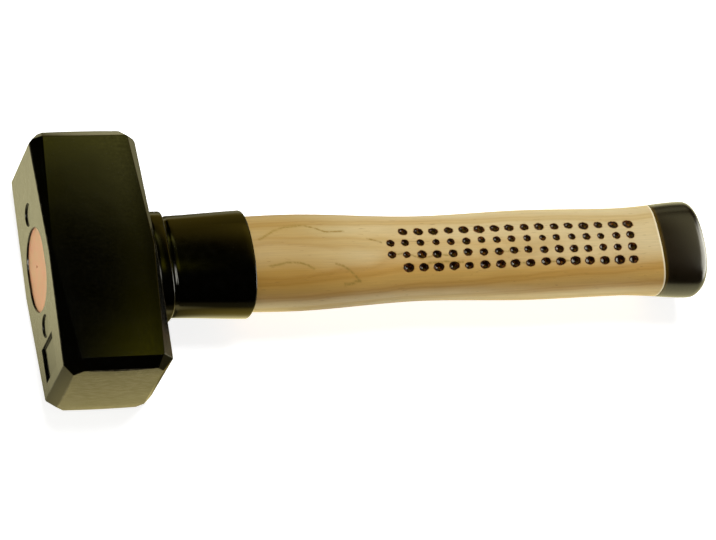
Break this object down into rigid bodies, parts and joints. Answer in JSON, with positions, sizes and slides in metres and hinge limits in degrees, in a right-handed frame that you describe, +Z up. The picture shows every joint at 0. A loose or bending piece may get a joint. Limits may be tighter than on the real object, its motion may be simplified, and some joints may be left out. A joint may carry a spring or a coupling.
{
  "type": "club hammer",
  "caption": "Club hammer with a square forged steel head, a wedged wooden handle with dimpled grip, a steel neck sleeve and a dipped end.",
  "frame": {"origin": "centre of the cheek of the head that the hammer lies on", "axes": "+X along the handle from the crown to the grip end, +Y along the head from one striking face to the other, +Z up out of the other cheek"},
  "size_m": [0.2739, 0.1016, 0.043],
  "materials": {
    "head_lacquer": "black lacquer, semi gloss",
    "handle_wood": "clear lacquer",
    "sleeve_enamel": "black enamel, gloss",
    "seal_resin": "satin",
    "wedge_wood": "bare",
    "ring_steel": "turned",
    "dip_coat": "semi gloss"
  },
  "bodies": {
    "root": {"hammer_head": "head_lacquer", "handle": "handle_wood", "handle_sleeve": "sleeve_enamel", "eye_seal": "seal_resin", "kerf_wedge": "wedge_wood", "ring_wedge": "ring_steel", "end_dip": "dip_coat"}
  },
  "joints": []
}
